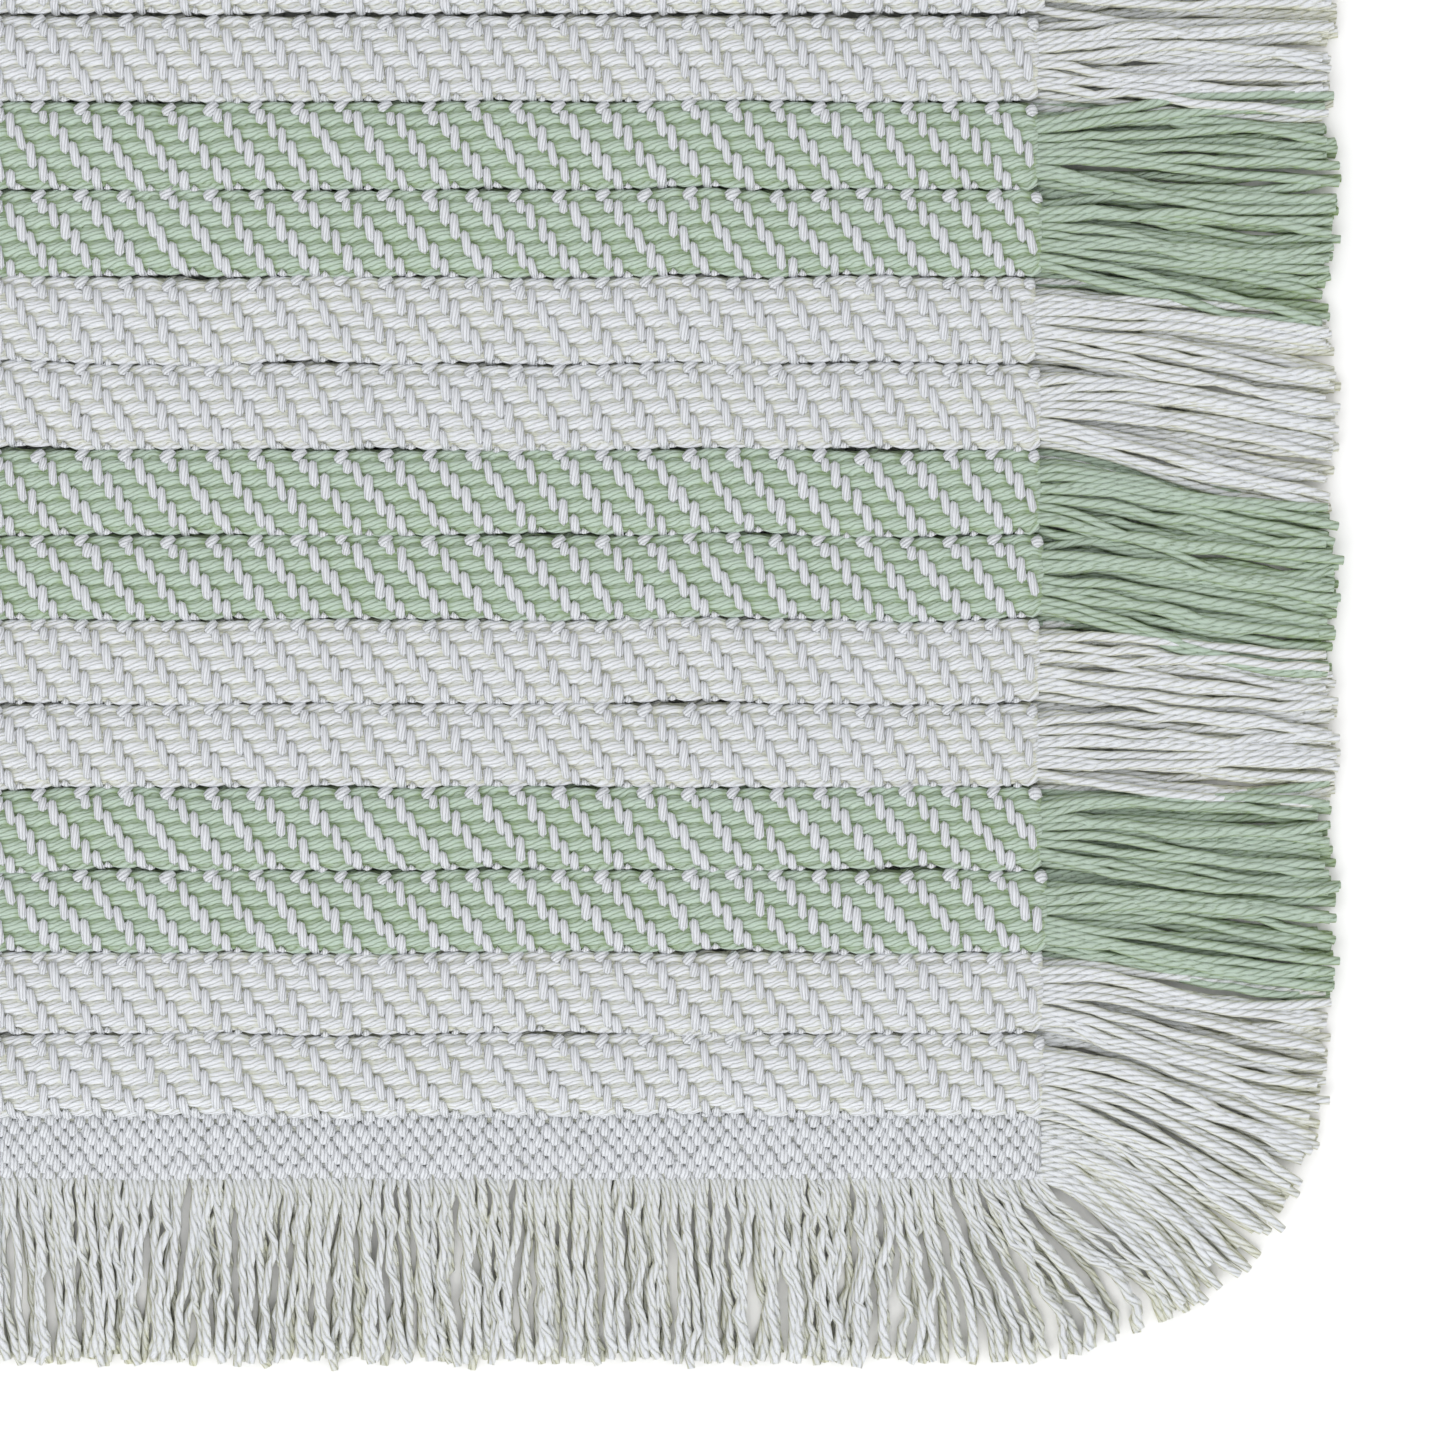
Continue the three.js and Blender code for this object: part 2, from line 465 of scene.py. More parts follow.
def bezier(a, b, c, d, steps):
    """Points along the cubic curve from a to d, with the handles b and c."""
    t = np.linspace(0, 1, steps)[:, None]
    a, b, c, d = (np.array(point, float) for point in (a, b, c, d))
    return a * (1 - t) ** 3 + 3 * b * t * (1 - t) ** 2 + 3 * c * t**2 * (1 - t) + d * t**3


def length_of(points):
    return float(np.linalg.norm(np.diff(points, axis=0), axis=1).sum())


# ================================= ribs =================================
TAIL_TOP = 2.0 * MM  # how high a rib's tail stands over its foot
NOSE_GAP = 0.3 * MM
PAST_NOSE = 1.0 * MM  # a rib's face starts this far behind the next rib's nose,
PAST_TAIL = 0.8 * MM  # but no further than this behind the end of its own tail
SHOULDER = 2.4 * MM  # from the front rib's nose to its crest
SLOPE_POINTS = 24
NOSE_POINTS = 13

BUNCHED = 3.0 * MM  # the columns close up over this last length of a rib
CAP = 3.0 * MM  # and its cloth turns in over this length
END_DEPTH = 0.65  # to this share of its depth along Y
END_HEIGHT = 0.45  # how high the closed end lies, in parts of the rib's height
END_SHIFT = 7 * MM  # the spread of the ribs' ends along X
SHIFT_REACH = 20 * MM  # the cloth follows its end over this length
SHIFT_NOISE = 3.7  # at a whole number every rib would have the same shift
WANDER = 3.2 * MM  # how far a rib strays along Y
WANDER_BESIDE_FOLD = 1.2 * MM
BESIDE_FOLD = (len(RIBS) // 2 - 1, len(RIBS) // 2)  # the ribs that part where the mat folds

# Scales of noise, per metre
WANDER_NOISE = 30.0
SWELL_NOISE = 70.0
MOTTLE_NOISE = 260.0
SAG_NOISE = 330.0

HELD_DOWN = 0.38  # how full a weft bundle is under a float, against 1 where it is loose
PATH_LIFT = 0.55  # a cloth's path runs through its bundles at this share of their height
LEAST_PAINTED_LIFT = 0.35  # the painted lift between two bundles, where painted shade is darkest
CREASE_SHADE = 0.7  # how much of the lift is taken away in the crease,
CREASE_REACH = 4.5 * MM  # how much painted shade is put into the crease, taken off the lift, less and less over this length of the face
MOTTLE = 0.5 * MM  # how uneven the face is, out of the cloth
SAG = 0.9 * MM  # and along it, so that the rows aren't straight

# A float that curls out of the crease starts further down and to one side. It is thicker,
# shorter and turned.
CURL_DOWN = 1.6 * MM
CURL_ASIDE = 1.0 * MM
CURL_THICKER = 0.15
CURL_SHORTER = 0.38
CURL_TURN = 0.85
AFTER_DOWN = 0.9 * MM  # the float after it makes room
AFTER_SHORTER = 0.45

# The inputs that every tree for a cloth has
CLOTH_INPUTS = {
    "Path": "Object",
    "Half Length": "Float",
    "Middle Y": "Float",
    "Middle Z": "Float",
    "Columns": "Int",
    "Row Pitch": "Float",
    "Wander": "Float",
    "Swell": "Float",
    "Seed": "Float",
}


def rib_section(low, high, next_nose, lapped):
    """The closed line that a rib's cloth follows: from the crease behind it, over the crest and
    round the nose, and back underneath. Returns the line and the length of its face."""
    top = high.z - YARN_DEPTH
    foot = low.z + 0.1 * MM
    tail = high.y - NOSE_GAP
    tail_top = low.z + TAIL_TOP - YARN_DEPTH
    nose = low.y + YARN_DEPTH
    nose_foot = low.z + TAIL_TOP + NOSE_GAP + YARN_DEPTH
    radius = (top - nose_foot) / 2 if lapped else SHOULDER
    crease = min(next_nose + PAST_NOSE, tail + PAST_TAIL)
    slope = bezier(
        (crease, tail_top),
        (crease + 0.5 * MM, top + 0.6 * MM),
        (crease - 3.4 * MM, top + 0.3 * MM),
        (nose + radius, top),
        SLOPE_POINTS,
    )
    if lapped:
        angle = np.linspace(math.pi / 2, 1.5 * math.pi, NOSE_POINTS)[1:]
        arc_y = nose + radius + radius * np.cos(angle)
        arc_z = top - radius + radius * np.sin(angle)
        arc = np.stack([arc_y, arc_z], 1)
        back = [(nose + radius + 1.5 * MM, foot)]
    else:
        arc = bezier(
            (nose + radius, top),
            (nose + 1.0 * MM, top),
            (nose + 0.2 * MM, top - 1.4 * MM),
            (nose - 1.2 * MM, foot + 1.3 * MM),
            NOSE_POINTS,
        )[1:]
        back = [(nose, foot)]
    face = np.vstack([slope, arc])
    loop = np.vstack([face, back, [(tail, foot), (tail, tail_top), slope[0]]])
    return loop, length_of(face)


def bend(tree, x, s, h):
    """Lays a point of flat cloth, x along the rib, s down its face and h out of it, on its path."""
    path = tree.node("GeometryNodeObjectInfo", tree.given("Path"))
    sample = tree.node(
        "GeometryNodeSampleCurve",
        named={"Curves": tree.out(path, "Geometry"), "Length": s},
        mode="LENGTH",
        use_all_curves=True,
    )
    tangent = tree.out(sample, "Tangent")
    outward = tree.field("ShaderNodeVectorMath", tangent, (1, 0, 0), operation="CROSS_PRODUCT")
    _, y, z = tree.split(tree.out(sample, "Position"))
    _, out_y, out_z = tree.split(outward)

    half = tree.given("Half Length")
    inward = (x.math("ABSOLUTE") * -1 + half).at_least(0)
    near = inward.below(BUNCHED)
    from_end = inward * inward / (2 * BUNCHED) * near + (inward - BUNCHED / 2) * near.flipped()
    turned = (from_end / CAP).flipped().at_least(0)
    full = (turned * turned).flipped().at_least(0).math("SQRT")

    seed = tree.given("Seed")
    wander = (tree.noise(tree.vector(x, seed), WANDER_NOISE) - 0.5) * tree.given("Wander")
    swell = (tree.noise(tree.vector(x, seed, s * 2), SWELL_NOISE) - 0.5) * tree.given("Swell")
    y = y + out_y * (h + swell) + wander
    z = z + out_z * (h + swell)
    middle_y = tree.given("Middle Y")
    middle_z = tree.given("Middle Z")
    open_end = from_end.below(0.001 * MM).flipped()
    y = middle_y + (y - middle_y) * (full * (1 - END_DEPTH) + END_DEPTH) * open_end
    z = middle_z + (z - middle_z) * full
    end_shift = (tree.noise(tree.vector(x.math("SIGN"), seed), SHIFT_NOISE) - 0.5) * END_SHIFT
    reached = (inward / SHIFT_REACH).flipped().at_least(0)
    closed_up = inward / half * (BUNCHED / 2)  # nothing at the ends, and all of it by the middle
    x = x.math("SIGN") * (half + end_shift * reached - from_end - closed_up)
    return tree.vector(x, y, z)


def weft_tree():
    """Rows of weft bundles. They bulge where no warp yarn crosses them and dip where one does."""
    tree = GeometryTree(
        "rib_weft",
        **CLOTH_INPUTS,
        **{
            "Steps Per Row": "Int",
            "Face Steps": "Int",
            "Under Steps": "Int",
            "Whole": "Float",
            "Bundle": "Float",
        },
    )
    columns = tree.given("Columns")
    face_steps = tree.given("Face Steps")
    steps = face_steps + tree.given("Under Steps")
    grid = tree.field("GeometryNodeMeshGrid", 1.0, 1.0, columns + 1, steps + 1)
    grid_x, grid_y, _ = tree.split(tree.field("GeometryNodeInputPosition"))
    column = ((grid_x + 0.5) * columns).math("ROUND")
    rolled = ((grid_y * -1 + 0.5) * steps).math("ROUND")
    step = rolled * rolled.below(steps - 0.5)  # the last line of points lies on the first

    per_row = tree.given("Steps Per Row")
    fine = tree.given("Row Pitch") / per_row
    face_end = face_steps * fine
    coarse = (tree.given("Whole") - face_end) / tree.given("Under Steps")
    on_face = step.at_most(face_steps)
    s = on_face * fine + (step - on_face) * coarse
    rolled_on = rolled.at_most(face_steps)
    rolled_s = rolled_on * fine + (rolled - rolled_on) * coarse
    x = (column / columns * 2 - 1) * tree.given("Half Length")

    row = (on_face / per_row + 0.001).math("FLOOR")
    within = (on_face / per_row).math("FRACT") * 2 - 1
    crown = (within * within * within * within).flipped()
    # painted shade in the crease under the next rib's nose, fading over the first part of the face
    painted_crease_shade = (s / CREASE_REACH).at_most(1).flipped() * CREASE_SHADE
    covered = (row - column + 100 * REPEAT).math("MODULO", REPEAT).below(1.5)
    loose = covered.flipped() * (1 - HELD_DOWN) + HELD_DOWN
    lift = crown * loose
    seed = tree.given("Seed")
    mottle = (tree.noise(tree.vector(x, s, seed), MOTTLE_NOISE, 2.0) - 0.5) * MOTTLE
    h = (lift - PATH_LIFT) * tree.given("Bundle") + mottle
    sag = (tree.noise(tree.vector(x, s * 0.5, seed + 3), SAG_NOISE) - 0.5) * SAG
    place = bend(tree, x, (s + sag * on_face.below(face_steps)).at_least(0), h)

    # painted shade: the cloth is coloured darker where a bundle lies low, between bundles and where
    # a float holds it down, and in the crease
    marked = tree.stored(grid, "lift", lift * (1 - LEAST_PAINTED_LIFT) + LEAST_PAINTED_LIFT - painted_crease_shade)
    mapped = tree.with_yarn_map(marked, x, rolled_s / tree.given("Row Pitch") * STRANDS)
    laid = tree.moved(mapped, place)
    welded = tree.field("GeometryNodeMergeByDistance", laid, named={"Distance": 0.01 * MM})
    return tree.finish(welded)


def warp_tree():
    """The pale floats of the face warp, over two rows and under two, one row lower in each
    column. Where Curl is 1, the row inside the crease is left out, the next row's floats are
    small curls that come out of the crease, and the row after that is short of them."""
    tree = GeometryTree(
        "rib_warp",
        **CLOTH_INPUTS,
        **{"Rows": "Int", "Repeat": "Int", "Yarn": "Object", "Lean": "Float", "Curl": "Float"},
    )
    columns = tree.given("Columns")
    rows = tree.given("Rows")
    pitch = tree.given("Row Pitch")
    seed = tree.given("Seed")
    grid = tree.field("GeometryNodeMeshGrid", 1.0, 1.0, columns + 1, rows + 1)
    grid_x, grid_y, _ = tree.split(tree.field("GeometryNodeInputPosition"))
    column = ((grid_x + 0.5) * columns).math("ROUND")
    row = ((grid_y * -1 + 0.5) * rows).math("ROUND")
    repeat = tree.given("Repeat")
    curled = tree.given("Curl")
    hidden = row.below(0.5) * curled
    first = row.below(1.5) * curled
    second = row.below(2.5) * curled - first
    starts = (row - 1 - column + (columns + 1) * repeat).math("MODULO", repeat).below(0.5)
    inner = (column * -1).below(-1.5) * column.below(columns - 1.5)
    own = tree.field("GeometryNodeInputIndex") + seed * 1000
    jitter_x = tree.random(-0.2 * MM, 0.2 * MM, 1, own)
    jitter_s = tree.random(-0.3 * MM, 0.3 * MM, 2, own)
    x = (column / columns * 2 - 1) * tree.given("Half Length") + jitter_x
    s = row * pitch + jitter_s + first * CURL_DOWN + second * AFTER_DOWN
    x = x + first * CURL_ASIDE
    kept = starts * inner * hidden.flipped()
    crossings = tree.field("GeometryNodeDeleteGeometry", grid, kept.flipped())
    turned = tree.random(-0.13, 0.13, 3, own) + tree.given("Lean")
    size = tree.random(0.9, 1.12, 4, own)
    thick = size + first * CURL_THICKER
    long = size * 0.3 + 0.7 - second * AFTER_SHORTER - first * CURL_SHORTER
    leaning = tree.stored(crossings, "turned", turned - first * CURL_TURN)
    sized = tree.stored(leaning, "sized", tree.vector(thick, long, thick), "FLOAT_VECTOR")
    flat = tree.moved(sized, tree.vector(x, s * -1, 0.0))
    yarn = tree.out(tree.node("GeometryNodeObjectInfo", tree.given("Yarn")), "Geometry")
    floats = tree.field(
        "GeometryNodeInstanceOnPoints",
        flat,
        named={
            "Instance": yarn,
            "Rotation": tree.vector(0.0, 0.0, tree.attribute("turned")),
            "Scale": tree.attribute("sized", "FLOAT_VECTOR"),
        },
    )
    real = tree.field("GeometryNodeRealizeInstances", floats)
    flat_x, flat_y, height = tree.split(tree.field("GeometryNodeInputPosition"))
    # painted shade: a float is coloured darker low on its sides, and palest on its top
    marked = tree.stored(real, "lift", (height / FLOAT_HEIGHT * 0.7 + 0.55).at_most(1))
    place = bend(tree, flat_x, (flat_y * -1).at_least(0), height)
    return tree.finish(tree.moved(marked, place))


WEFT_TREE = weft_tree()
WARP_TREE = warp_tree()
FLOAT_YARN = spindle("float_yarn", FLOAT_WIDTH, FLOAT_LENGTH, FLOAT_HEIGHT, 5, 4, 7.0)
STEPS_PER_ROW = 4
UNDER_STEPS = 5  # along the unseen part of a cloth's path
PATH_SLACK = 0.3  # how much of a row is left over at the end of a face


def nose_after(number):
    """Where the rib behind this one begins, along Y."""
    if number + 1 < len(RIBS):
        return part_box(RIBS[number + 1])[0].y
    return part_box(RIBS[number])[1].y


def make_rib(number, node):
    low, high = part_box(node)
    loop, face = rib_section(low, high, nose_after(number), number > 0)
    path = polyline("rib_path", loop)
    rows = int(face / ROW_PITCH)
    row_pitch = face / (rows + PATH_SLACK)
    shared = {
        "Path": path,
        "Half Length": BODY_END,
        "Middle Y": (low.y + high.y) / 2,
        "Middle Z": low.z + END_HEIGHT * (high.z - low.z),
        "Columns": COLUMNS,
        "Row Pitch": row_pitch,
        "Wander": WANDER_BESIDE_FOLD if number in BESIDE_FOLD else WANDER,
        "Swell": 0.8 * MM,
        "Seed": float(number),
    }
    colour = colour_of(node)
    weft = grown(
        node.replace("rib", "rib_weft"),
        WEFT_TREE,
        WEFT[colour],
        **shared,
        **{
            "Steps Per Row": STEPS_PER_ROW,
            "Face Steps": rows * STEPS_PER_ROW,
            "Under Steps": UNDER_STEPS,
            "Whole": length_of(loop),
            "Bundle": 0.9 * MM,
        },
    )
    placed(weft, node)
    warp = grown(
        node.replace("rib", "rib_warp").rsplit("_", 1)[0],
        WARP_TREE,
        FLOATS,
        **shared,
        **{"Rows": rows, "Repeat": REPEAT, "Yarn": FLOAT_YARN, "Lean": 0.16, "Curl": 1.0},
    )
    placed(warp, node, replaces=False)
    bpy.data.objects.remove(path)


for rib_number, rib_node in enumerate(RIBS):
    make_rib(rib_number, rib_node)
bpy.data.objects.remove(FLOAT_YARN)


# ================================= headings and ground cloth =================================
INSET = 0.45 * MM  # a slab's path lies this far inside its edges,
FLOOR_GAP = 0.5 * MM  # this far over its underside
FACE_RISE = 0.4 * MM  # and this far over its top where its face is up


def flat_section(low, high, face_up):
    """A closed flat line round a slab's section, starting along its woven face."""
    bottom = low.z + FLOOR_GAP
    top = high.z + FACE_RISE if face_up else high.z - INSET
    front = low.y + INSET
    back = high.y - INSET
    if face_up:
        loop = [(back, top), (front, top), (front, bottom), (back, bottom), (back, top)]
    else:
        loop = [(front, bottom), (back, bottom), (back, top), (front, top), (front, bottom)]
    return np.array(loop), back - front


HEADING_PICK = 1.6 * MM  # one pick to the next
HEADING_COLUMNS = round(1.5 * COLUMNS)
BEAD_WIDTH = 2.35 * MM
BEAD_LENGTH = 3.0 * MM
BEAD_HEIGHT = 0.75 * MM
BEAD = spindle("bead_yarn", BEAD_WIDTH, BEAD_LENGTH, BEAD_HEIGHT, 5, 4, 4.0)
UNDER_RIB = 1.5 * MM  # how far a heading runs under the rib beside it


def make_heading(node):
    """The plain-woven band: every second crossing shows a bead of warp."""
    low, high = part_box(node)
    if low.y < 0:
        high.y += UNDER_RIB
    else:
        low.y -= UNDER_RIB
    loop, face = flat_section(low, high, True)
    path = polyline("heading_path", loop)
    rows = int(face / HEADING_PICK)
    shared = {
        "Path": path,
        "Half Length": BODY_END,
        "Middle Y": (low.y + high.y) / 2,
        "Middle Z": (low.z + high.z) / 2,
        "Columns": HEADING_COLUMNS,
        "Row Pitch": face / (rows + PATH_SLACK),
        "Wander": 1.0 * MM,
        "Swell": 0.5 * MM,
        "Seed": 70.0 if low.y < 0 else 90.0,
    }
    picks = grown(
        node.replace("heading", "heading_picks"),
        WEFT_TREE,
        PLAIN_CLOTH,
        **shared,
        **{
            "Steps Per Row": 2,
            "Face Steps": rows * 2,
            "Under Steps": UNDER_STEPS,
            "Whole": length_of(loop),
            "Bundle": 0.4 * MM,
        },
    )
    placed(picks, node)
    ends = grown(
        node.replace("heading", "heading_ends"),
        WARP_TREE,
        FLOATS,
        **shared,
        **{"Rows": rows, "Repeat": 2, "Yarn": BEAD, "Lean": 0.1, "Curl": 0.0},
    )
    placed(ends, node, replaces=False)
    bpy.data.objects.remove(path)
    return picks, ends


def make_ground():
    """The flat cloth under the ribs, woven in one piece over both halves of the mat."""
    low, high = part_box("ground_cloth_front")[0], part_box("ground_cloth_back")[1]
    loop, face = flat_section(low, high, False)
    path = polyline("ground_path", loop)
    rows = int(face / ROW_PITCH)
    under_steps = 60  # enough points for the unseen part as well
    ground = grown(
        "ground_cloth",
        WEFT_TREE,
        PLAIN_CLOTH,
        **{
            "Path": path,
            "Half Length": BODY_END,
            "Middle Y": 0.0,
            "Middle Z": (low.z + high.z) / 2,
            "Columns": COLUMNS // 4,
            "Row Pitch": face / (rows + 0.1),
            "Steps Per Row": 1,
            "Face Steps": rows,
            "Under Steps": under_steps,
            "Whole": length_of(loop),
            "Bundle": 0.7 * MM,
            "Wander": 0.0,
            "Swell": 0.0,
            "Seed": 50.0,
        },
    )
    bpy.data.objects.remove(path)
    return ground


heading_pieces = [*make_heading("heading_front"), *make_heading("heading_back")]
bpy.data.objects.remove(BEAD)
ground_cloth = make_ground()


# ================================= fringe =================================
FRAYED_FROM = 0.85  # a strand widens from here to its tip, in parts of its length
CLOSED_FROM = 0.95  # and draws in again from here
OPEN = 0.9  # how much of the light reaches the top of the fringe, or its underside
MOST_PAINTED_LIFT = 0.85  # the most painted light a strand gets, so that it stays a little darker than the ribs


def strand_tree():
    """Loose strands. Each point of the carrier's mesh is one strand: its root, two handles and
    tip are attributes, and so are its radius, how far it waves and a number of its own."""
    tree = GeometryTree(
        "loose_strands",
        **{"Rings": "Int", "Sides": "Int", "Wave Length": "Float", "Flare": "Float"},
    )
    line = tree.field(
        "GeometryNodeResampleCurve",
        tree.field("GeometryNodeCurvePrimitiveLine"),
        named={"Count": tree.given("Rings")},
    )
    laid = tree.field(
        "GeometryNodeInstanceOnPoints", tree.given("Geometry"), named={"Instance": line}
    )
    strands = tree.field("GeometryNodeRealizeInstances", laid)
    t = tree.out(tree.node("GeometryNodeSplineParameter"), "Factor")
    rest = t.flipped()
    root, first, second, tip = (
        tree.attribute(name, "FLOAT_VECTOR") for name in ("root", "first", "second", "tip")
    )
    place = tree.summed(
        tree.scaled(root, rest * rest * rest),
        tree.scaled(first, t * rest * rest * 3),
        tree.scaled(second, t * t * rest * 3),
        tree.scaled(tip, t * t * t),
    )
    own = tree.attribute("own")
    span = tree.attribute("span")
    beat = t * span / tree.given("Wave Length")
    settle = (t * 5).at_most(1)
    waves = [
        (tree.noise(tree.vector(beat, own, seed), 1.0) - 0.5) * settle * tree.attribute("wave")
        for seed in (0.0, 7.0, 13.0)
    ]
    swayed = tree.summed(place, tree.vector(waves[0], waves[1], waves[2] * 0.5))
    drawn = tree.moved(strands, swayed)

    loosened = (t - FRAYED_FROM).at_least(0) * (tree.given("Flare") * 8) + 1
    flare = loosened * ((t - CLOSED_FROM) * 6).at_least(0).flipped()
    along = tree.stored(
        drawn, "along", tree.out(tree.node("GeometryNodeSplineParameter"), "Length")
    )
    ring = tree.field(
        "GeometryNodeCurvePrimitiveCircle", tree.given("Sides"), named={"Radius": 1.0}
    )
    around = tree.stored(
        ring, "around", tree.out(tree.node("GeometryNodeSplineParameter"), "Factor")
    )
    tube = tree.field(
        "GeometryNodeCurveToMesh",
        along,
        named={
            "Profile Curve": around,
            "Scale": tree.attribute("thickness") * flare,
            "Fill Caps": True,
        },
    )
    # the last face round the strand runs back to the start of the circle, so its map goes on to 1
    angle = tree.attribute("around")
    mean = tree.field("GeometryNodeFieldOnDomain", angle, domain="FACE", data_type="FLOAT")
    at_seam = angle.below(0.01) * (mean * -1).below(-0.3)
    mapped = tree.with_yarn_map(tube, tree.attribute("along"), (angle + at_seam) * 4)
    _, _, z = tree.split(tree.field("GeometryNodeInputPosition"))
    _, _, up = tree.split(tree.field("GeometryNodeInputNormal"))
    # the upper side of the fringe is open to the light from above, and its underside from below
    height = (z / FRINGE_TOP * 1.2 - 0.05).at_least(0).at_most(OPEN)
    from_above = height * (up.at_least(0) * 0.75 + 0.25)
    from_below = (height * -1 + OPEN) * (up * -1).at_least(0) * OPEN
    lift = ((from_above + from_below) * 1.8 - 0.45).at_most(MOST_PAINTED_LIFT)
    return tree.finish(tree.stored(mapped, "lift", lift))


STRAND_TREE = strand_tree()


class Strands:
    """Guides of the strands of one piece, gathered before they are drawn."""

    def __init__(self):
        self.guides = []

    def add(self, root, first, second, tip, radius, wave, own):
        self.guides.append((root, first, second, tip, radius, wave, own))

    def drawn(self, name, material, rings, sides, wave_length, flare):
        mesh = bpy.data.meshes.new(name)
        mesh.from_pydata([guide[0] for guide in self.guides], [], [])
        for i, label in enumerate(("root", "first", "second", "tip")):
            layer = mesh.attributes.new(label, "FLOAT_VECTOR", "POINT")
            layer.data.foreach_set("vector", np.array([g[i] for g in self.guides]).ravel())
        spans = [math.dist(g[0], g[3]) for g in self.guides]
        columns = {
            "thickness": [g[4] for g in self.guides],
            "wave": [g[5] for g in self.guides],
            "own": [g[6] for g in self.guides],
            "span": spans,
        }
        for label, values in columns.items():
            layer = mesh.attributes.new(label, "FLOAT", "POINT")
            layer.data.foreach_set("value", np.array(values, float))
        carrier = bpy.data.objects.new("carrier", mesh)
        bpy.context.scene.collection.objects.link(carrier)
        return grown(
            name,
            STRAND_TREE,
            material,
            carrier,
            **{"Rings": rings, "Sides": sides, "Wave Length": wave_length, "Flare": flare},
        )


STRAND_RADIUS = 0.92 * MM
TAIL_RADIUS = 0.86 * MM
# Strands per rib, height, height at the root, how far the roots are drawn together, and how far
# the strands spread over the rib's depth
LAYERS = (
    (8, 2.9 * MM, 6.0 * MM, 0.6, 1.0),
    (9, 1.9 * MM, 4.6 * MM, 0.78, 1.0),
    (11, 0.9 * MM, 3.0 * MM, 1.0, 1.09),
)
TUCKED = 4.2 * MM  # how far a side strand starts inside the cloth
CORNER_SHARE = 0.65  # strands beside a heading, against those of a rib
CORNER_ROOT = 1.6 * MM  # and how high they start

# The handles of a side strand's curve, in parts of its reach, and how far its points stray
ROOT_HANDLE = 0.28
TIP_HANDLE = 0.42
ROOT_STRAY = 0.9 * MM
MIDDLE_STRAY = 2.4 * MM
TIP_STRAY = 2.0 * MM

# How far each tuft's edge has been brushed towards the front (-) or back (+) at its tips, from the
# first stripe's edge at the front, past the fold in the middle, to the last one's at the back.
BRUSHED = {
    1: [-8.5, -1.0, -7.5, -10.0, -6.5, 0.0, 0.0, 3.0, 6.0, -2.0, 4.0, 7.0, 8.5],
    -1: [-8.5, -5.0, 2.0, -6.0, -3.0, 1.0, 0.0, -2.0, 5.0, 8.0, 3.0, 5.0, 8.5],
}
LAST_TURN = math.radians(58)  # how far round the corner the last side strand ends


def tip_of(y, side, brushed_y, brushed_by):
    """Where a side strand rooted at y ends, and which way it points there."""
    fan_from = brushed_y[-1]
    if abs(y) <= fan_from:
        tip_y = y + float(np.interp(y, brushed_y, brushed_by))
        return (side * MAT_END, tip_y), (side * 1.0, 0.6 * (tip_y - y) / (MAT_END - BODY_END))
    start = math.asin((fan_from + abs(brushed_by[-1]) - CORNER_Y) / CORNER)
    share = (abs(y) - fan_from) / (HEADING_END - fan_from)
    turn = start + share * (LAST_TURN - start)
    x = CORNER_X + CORNER * math.cos(turn)
    tip_y = CORNER_Y + CORNER * math.sin(turn)
    lean = turn * 0.95
    return (side * x, math.copysign(tip_y, y)), (
        side * math.cos(lean),
        math.copysign(math.sin(lean), y),
    )


rng = np.random.default_rng(11)


def side_strand(strands, side, y_root, y_spread, z_root, z_rest, brushed_y, brushed_by):
    """One cut weft tail: it starts at y_root, spreads to y_spread and lies down at z_rest."""
    (tip_x, tip_y), (aim_x, aim_y) = tip_of(y_spread, side, brushed_y, brushed_by)
    uneven = min(rng.normal(-0.006, 0.018), 0.01)
    wavy = 0.015 * math.sin(y_spread / (5.3 * MM) + side)
    trim = 1 + uneven + wavy
    root = (side * (BODY_END - TUCKED), y_root, z_root)
    tip_x = side * BODY_END + (tip_x - side * BODY_END) * trim
    tip_y = tip_y + rng.normal(0, TIP_STRAY)
    reach = math.hypot(tip_x - root[0], tip_y - y_root)
    first = (
        root[0] + side * ROOT_HANDLE * reach,
        y_spread + rng.normal(0, ROOT_STRAY),
        z_root + 0.4 * MM,
    )
    z_tip = max(z_rest + rng.normal(0, 0.2 * MM), STRAND_RADIUS)
    second = (
        tip_x - aim_x * TIP_HANDLE * reach,
        tip_y - aim_y * TIP_HANDLE * reach + rng.normal(0, MIDDLE_STRAY),
        z_rest + rng.normal(0, 0.4 * MM),
    )
    strands.add(
        root,
        first,
        second,
        (tip_x, tip_y, z_tip),
        STRAND_RADIUS * rng.uniform(0.92, 1.06),
        rng.uniform(2.0, 5.0) * MM,
        rng.uniform(0, 100),
    )


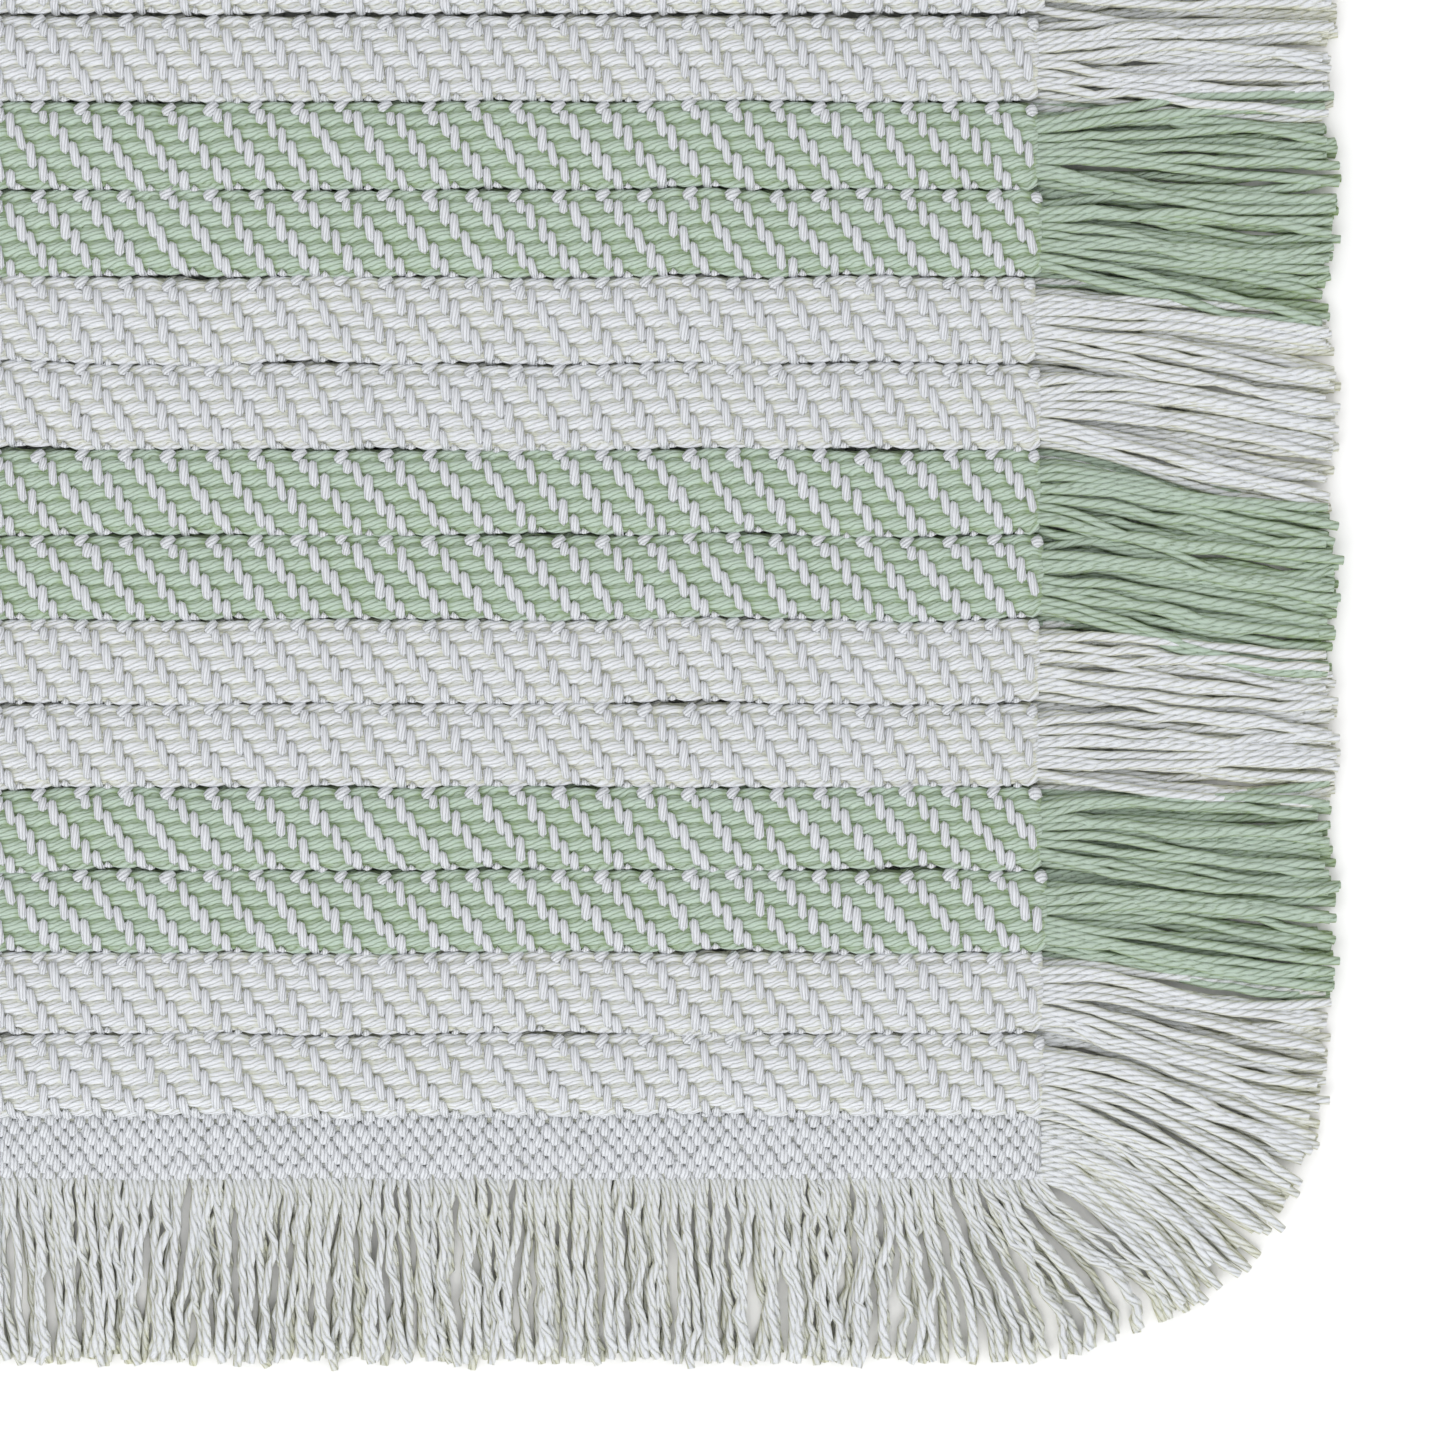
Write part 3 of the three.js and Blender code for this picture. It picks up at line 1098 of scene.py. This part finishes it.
def make_side_tuft(node):
    """The cut weft tails of one stripe on one side, in three layers."""
    _, _, side_name, label, colour = node.split("_")
    side = 1 if side_name == "right" else -1
    stripe = int(label[:2]) - 1
    ribs = [2 * stripe, 2 * stripe + 1]
    if label[-1] in "ab":
        ribs = [ribs["ab".index(label[-1])]]
    edges = [nose_after(rib - 1) for rib in range(2, len(RIBS), 2)]
    brushed_y = [*edges[: len(edges) // 2], 0.0, *edges[len(edges) // 2 :]]
    brushed_by = [value * MM for value in BRUSHED[side]]
    strands = Strands()
    for rib in ribs:
        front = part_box(RIBS[rib])[0].y
        back = nose_after(rib)
        middle = (front + back) / 2
        for count, z_rest, z_root, drawn_in, width in LAYERS:
            for i in range(count):
                share = (i + 0.5) / count - 0.5
                spread = middle + share * width * (back - front)
                y_root = middle + (spread - middle) * drawn_in
                side_strand(
                    strands, side, y_root, spread, z_root, z_rest, brushed_y, brushed_by
                )
    if label in ("01", "13"):
        low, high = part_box("heading_front" if label == "01" else "heading_back")
        for count, z_rest, _, _, _ in LAYERS:
            count = round(CORNER_SHARE * count)
            for i in range(count):
                spread = low.y + (i + 0.5) / count * (high.y - low.y)
                side_strand(
                    strands, side, spread, spread, CORNER_ROOT, z_rest, brushed_y, brushed_by
                )
    tuft = strands.drawn(node, YARN[colour], 16, 6, 13 * MM, 0.2)
    tuft.name = node + "_strands"
    placed(tuft, node)
    return tuft


TAILS_PER_COLUMN = 1.4  # of a heading
TAIL_HEIGHTS = (2.9 * MM, 0.9 * MM, 1.9 * MM)  # each tail lies at the next of these
TAIL_ROOT = 1.7 * MM
TAIL_TUCKED = 1.5 * MM  # how far a tail starts inside the heading
TAIL_HANDLE = 11 * MM
LEANS = 60  # places along the mat that give the tails round them a lean of their own
FAN_MARGIN = 20 * MM  # the tails fan out from here before the trimmed corner starts
LAST_TAIL_TURN = math.radians(57)  # how far down the corner the last tail ends


def make_end_fringe(node):
    """The cut warp tails beyond a heading, still crimped from the weave."""
    way = -1 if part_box(node)[0].y < 0 else 1
    strands = Strands()
    root_y = way * (HEADING_END - TAIL_TUCKED)
    fan_from = CORNER_X - FAN_MARGIN
    last_x = CORNER_X + CORNER * math.cos(LAST_TAIL_TURN)
    count = round(TAILS_PER_COLUMN * HEADING_COLUMNS)
    lean = np.interp(
        np.linspace(0, 1, count), np.linspace(0, 1, LEANS), rng.normal(0, 1.0 * MM, LEANS)
    )
    for i in range(count):
        x = -BODY_END + (i + 0.5) * 2 * BODY_END / count
        side = math.copysign(1, x)
        tip_x = x + lean[i] + rng.normal(0, 0.8 * MM)
        tip_y = MAT_SIDE + rng.normal(-0.4 * MM, 0.5 * MM)
        if abs(x) > fan_from:
            share = (abs(x) - fan_from) / (BODY_END - fan_from)
            out = fan_from + share * (last_x - fan_from)
            tip_x = side * out + rng.normal(0, 0.8 * MM)
            tip_y = CORNER_Y + math.sqrt(max(CORNER**2 - max(out - CORNER_X, 0) ** 2, 0))
        z = TAIL_HEIGHTS[i % len(TAIL_HEIGHTS)]
        root = (x, root_y, TAIL_ROOT)
        first = (x + rng.normal(0, 1.6 * MM), root_y + way * TAIL_HANDLE, z + 0.4 * MM)
        second = (tip_x + rng.normal(0, 1.8 * MM), way * (tip_y - TAIL_HANDLE), z)
        strands.add(
            root,
            first,
            second,
            (tip_x, way * tip_y, max(z - 0.2 * MM, TAIL_RADIUS)),
            TAIL_RADIUS * rng.uniform(0.9, 1.1),
            rng.uniform(3.0, 6.0) * MM,
            rng.uniform(0, 100),
        )
    fringe = strands.drawn(node, YARN["white"], 17, 5, 6.5 * MM, 0.3)
    fringe.name = node + "_tails"
    placed(fringe, node)
    return fringe


TUFTS = sorted(name for name in frame["nodes"] if name.startswith("side_fringe_"))
tufts = [make_side_tuft(name) for name in TUFTS]
end_fringes = [make_end_fringe("end_fringe_front"), make_end_fringe("end_fringe_back")]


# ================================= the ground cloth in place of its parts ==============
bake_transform(ground_cloth)
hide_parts("ground_cloth_front", "ground_cloth_back")


# ================================= camera, light and floor =================================
LENS = 100
CAMERA_AT = (0.2864, -0.1309, 0.7502)  # it looks straight down
FLOOR_REACH = 4.0
FLOOR_GREY = 0.93
SKY_STRENGTH = 0.95
LIGHT_AT = (0.1, -1.3, 1.1)
LIGHT_TILT = math.radians(50)  # towards the back
LIGHT_SIZE = (1.6, 0.8)
LIGHT_POWER = 11


def studio():
    scene = bpy.context.scene
    scene.view_settings.view_transform = "Standard"
    camera_data = bpy.data.cameras.new("camera")
    camera_data.lens = LENS
    camera = bpy.data.objects.new("camera", camera_data)
    camera.location = CAMERA_AT
    scene.collection.objects.link(camera)
    scene.camera = camera

    mesh = bpy.data.meshes.new("floor")
    low, high = -FLOOR_REACH, FLOOR_REACH
    corners = [(low, low, 0), (high, low, 0), (high, high, 0), (low, high, 0)]
    mesh.from_pydata(corners, [], [(0, 1, 2, 3)])
    floor = bpy.data.objects.new("floor", mesh)
    scene.collection.objects.link(floor)
    paint = bpy.data.materials.new("pale_floor")
    paint.use_nodes = True
    surface = paint.node_tree.nodes["Principled BSDF"]
    surface.inputs["Base Color"].default_value = (FLOOR_GREY, FLOOR_GREY, FLOOR_GREY, 1)
    surface.inputs["Roughness"].default_value = 0.9
    mesh.materials.append(paint)

    world = bpy.data.worlds.new("studio")
    world.use_nodes = True
    sky = world.node_tree.nodes["Background"]
    sky.inputs["Color"].default_value = (1.0, 1.0, 1.0, 1)
    sky.inputs["Strength"].default_value = SKY_STRENGTH
    scene.world = world
    light_data = bpy.data.lights.new("key", "AREA")
    light_data.shape = "RECTANGLE"
    light_data.size, light_data.size_y = LIGHT_SIZE
    light_data.energy = LIGHT_POWER
    light = bpy.data.objects.new("key", light_data)
    light.location = LIGHT_AT
    light.rotation_euler = (LIGHT_TILT, 0, 0)
    scene.collection.objects.link(light)


studio()
